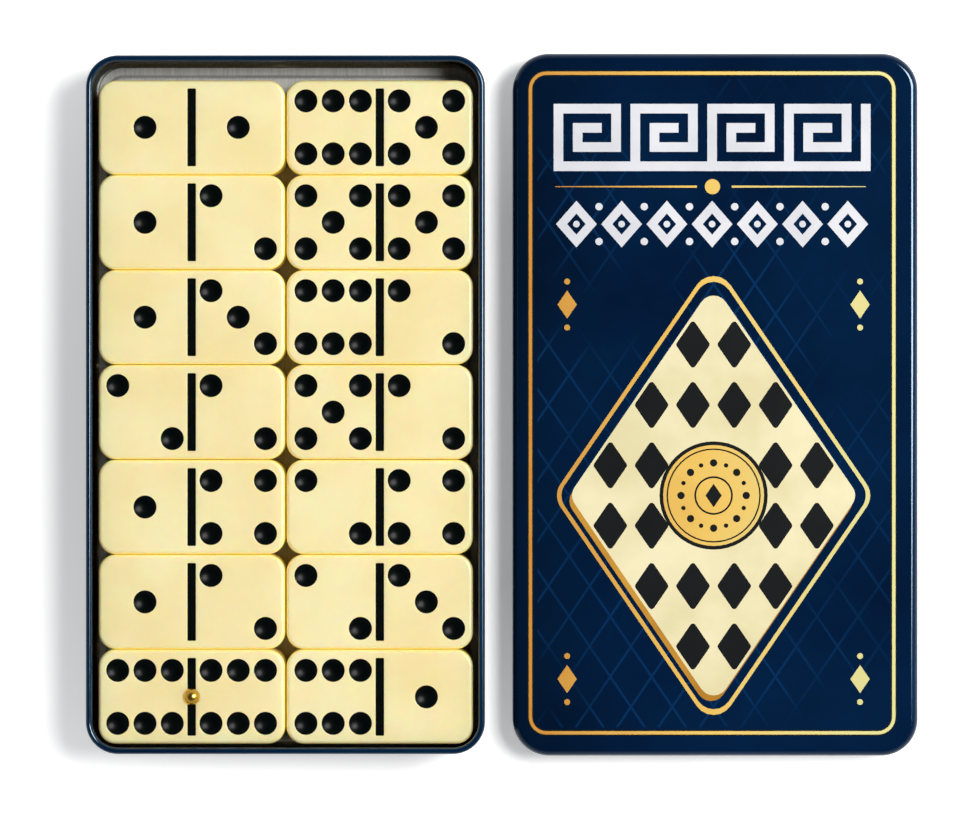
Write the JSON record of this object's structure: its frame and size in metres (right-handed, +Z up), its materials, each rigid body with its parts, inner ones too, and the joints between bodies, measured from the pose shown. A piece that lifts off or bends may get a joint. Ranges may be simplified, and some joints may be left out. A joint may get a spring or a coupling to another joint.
{
  "type": "domino storage box",
  "caption": "Shallow pressed-steel tin with a slip-on lid lying beside it, holding two layers of ivory dominoes.",
  "frame": {"origin": "centre of the underside of the tin, on the plane that it stands on", "axes": "+X across the tin towards the lid lying beside it, +Y along the tin's length towards the finger gap, +Z up"},
  "size_m": [0.2237, 0.1896, 0.023],
  "materials": {
    "tin_lacquer": "gloss navy lacquer",
    "lid_lacquer": "gloss navy lacquer with gold lines",
    "domino_ivory": "polished ivory",
    "spinner_brass": "polished"
  },
  "bodies": {
    "tin": {"tin_base": "tin_lacquer"},
    "lid": {"tin_lid": "lid_lacquer"},
    "tile_0_1": {"tile_0_1": "domino_ivory"},
    "tile_1_1": {"tile_1_1": "domino_ivory"},
    "tile_0_2": {"tile_0_2": "domino_ivory"},
    "tile_6_5": {"tile_6_5": "domino_ivory"},
    "tile_0_3": {"tile_0_3": "domino_ivory"},
    "tile_1_2": {"tile_1_2": "domino_ivory"},
    "tile_0_4": {"tile_0_4": "domino_ivory"},
    "tile_5_5": {"tile_5_5": "domino_ivory"},
    "tile_0_5": {"tile_0_5": "domino_ivory"},
    "tile_1_3": {"tile_1_3": "domino_ivory"},
    "tile_0_6": {"tile_0_6": "domino_ivory"},
    "tile_6_2": {"tile_6_2": "domino_ivory"},
    "tile_1_5": {"tile_1_5": "domino_ivory"},
    "tile_2_2": {"tile_2_2": "domino_ivory"},
    "tile_3_3": {"tile_3_3": "domino_ivory"},
    "tile_5_2": {"tile_5_2": "domino_ivory"},
    "tile_3_4": {"tile_3_4": "domino_ivory"},
    "tile_1_4": {"tile_1_4": "domino_ivory"},
    "tile_3_5": {"tile_3_5": "domino_ivory"},
    "tile_2_4": {"tile_2_4": "domino_ivory"},
    "tile_3_6": {"tile_3_6": "domino_ivory"},
    "tile_1_2_spare": {"tile_1_2_spare": "domino_ivory"},
    "tile_4_4": {"tile_4_4": "domino_ivory"},
    "tile_2_3": {"tile_2_3": "domino_ivory"},
    "tile_4_5": {"tile_4_5": "domino_ivory"},
    "tile_6_6": {"tile_6_6": "domino_ivory", "spinner": "spinner_brass"},
    "tile_4_6": {"tile_4_6": "domino_ivory"},
    "tile_6_1": {"tile_6_1": "domino_ivory"}
  },
  "joints": [
    {"name": "lid_lift", "type": "slide", "parent": "tin", "child": "lid", "axis": [0, 0, 1], "range_m": [0, 0.04]},
    {"name": "tile_0_1_lift", "type": "slide", "parent": "tin", "child": "tile_0_1", "axis": [0, 0, 1], "range_m": [0, 0.03]},
    {"name": "tile_1_1_lift", "type": "slide", "parent": "tile_0_1", "child": "tile_1_1", "axis": [0, 0, 1], "range_m": [0, 0.03]},
    {"name": "tile_0_2_lift", "type": "slide", "parent": "tin", "child": "tile_0_2", "axis": [0, 0, 1], "range_m": [0, 0.03]},
    {"name": "tile_6_5_lift", "type": "slide", "parent": "tile_0_2", "child": "tile_6_5", "axis": [0, 0, 1], "range_m": [0, 0.03]},
    {"name": "tile_0_3_lift", "type": "slide", "parent": "tin", "child": "tile_0_3", "axis": [0, 0, 1], "range_m": [0, 0.03]},
    {"name": "tile_1_2_lift", "type": "slide", "parent": "tile_0_3", "child": "tile_1_2", "axis": [0, 0, 1], "range_m": [0, 0.03]},
    {"name": "tile_0_4_lift", "type": "slide", "parent": "tin", "child": "tile_0_4", "axis": [0, 0, 1], "range_m": [0, 0.03]},
    {"name": "tile_5_5_lift", "type": "slide", "parent": "tile_0_4", "child": "tile_5_5", "axis": [0, 0, 1], "range_m": [0, 0.03]},
    {"name": "tile_0_5_lift", "type": "slide", "parent": "tin", "child": "tile_0_5", "axis": [0, 0, 1], "range_m": [0, 0.03]},
    {"name": "tile_1_3_lift", "type": "slide", "parent": "tile_0_5", "child": "tile_1_3", "axis": [0, 0, 1], "range_m": [0, 0.03]},
    {"name": "tile_0_6_lift", "type": "slide", "parent": "tin", "child": "tile_0_6", "axis": [0, 0, 1], "range_m": [0, 0.03]},
    {"name": "tile_6_2_lift", "type": "slide", "parent": "tile_0_6", "child": "tile_6_2", "axis": [0, 0, 1], "range_m": [0, 0.03]},
    {"name": "tile_1_5_lift", "type": "slide", "parent": "tin", "child": "tile_1_5", "axis": [0, 0, 1], "range_m": [0, 0.03]},
    {"name": "tile_2_2_lift", "type": "slide", "parent": "tile_1_5", "child": "tile_2_2", "axis": [0, 0, 1], "range_m": [0, 0.03]},
    {"name": "tile_3_3_lift", "type": "slide", "parent": "tin", "child": "tile_3_3", "axis": [0, 0, 1], "range_m": [0, 0.03]},
    {"name": "tile_5_2_lift", "type": "slide", "parent": "tile_3_3", "child": "tile_5_2", "axis": [0, 0, 1], "range_m": [0, 0.03]},
    {"name": "tile_3_4_lift", "type": "slide", "parent": "tin", "child": "tile_3_4", "axis": [0, 0, 1], "range_m": [0, 0.03]},
    {"name": "tile_1_4_lift", "type": "slide", "parent": "tile_3_4", "child": "tile_1_4", "axis": [0, 0, 1], "range_m": [0, 0.03]},
    {"name": "tile_3_5_lift", "type": "slide", "parent": "tin", "child": "tile_3_5", "axis": [0, 0, 1], "range_m": [0, 0.03]},
    {"name": "tile_2_4_lift", "type": "slide", "parent": "tile_3_5", "child": "tile_2_4", "axis": [0, 0, 1], "range_m": [0, 0.03]},
    {"name": "tile_3_6_lift", "type": "slide", "parent": "tin", "child": "tile_3_6", "axis": [0, 0, 1], "range_m": [0, 0.03]},
    {"name": "tile_1_2_spare_lift", "type": "slide", "parent": "tile_3_6", "child": "tile_1_2_spare", "axis": [0, 0, 1], "range_m": [0, 0.03]},
    {"name": "tile_4_4_lift", "type": "slide", "parent": "tin", "child": "tile_4_4", "axis": [0, 0, 1], "range_m": [0, 0.03]},
    {"name": "tile_2_3_lift", "type": "slide", "parent": "tile_4_4", "child": "tile_2_3", "axis": [0, 0, 1], "range_m": [0, 0.03]},
    {"name": "tile_4_5_lift", "type": "slide", "parent": "tin", "child": "tile_4_5", "axis": [0, 0, 1], "range_m": [0, 0.03]},
    {"name": "tile_6_6_lift", "type": "slide", "parent": "tile_4_5", "child": "tile_6_6", "axis": [0, 0, 1], "range_m": [0, 0.03]},
    {"name": "tile_4_6_lift", "type": "slide", "parent": "tin", "child": "tile_4_6", "axis": [0, 0, 1], "range_m": [0, 0.03]},
    {"name": "tile_6_1_lift", "type": "slide", "parent": "tile_4_6", "child": "tile_6_1", "axis": [0, 0, 1], "range_m": [0, 0.03]}
  ]
}
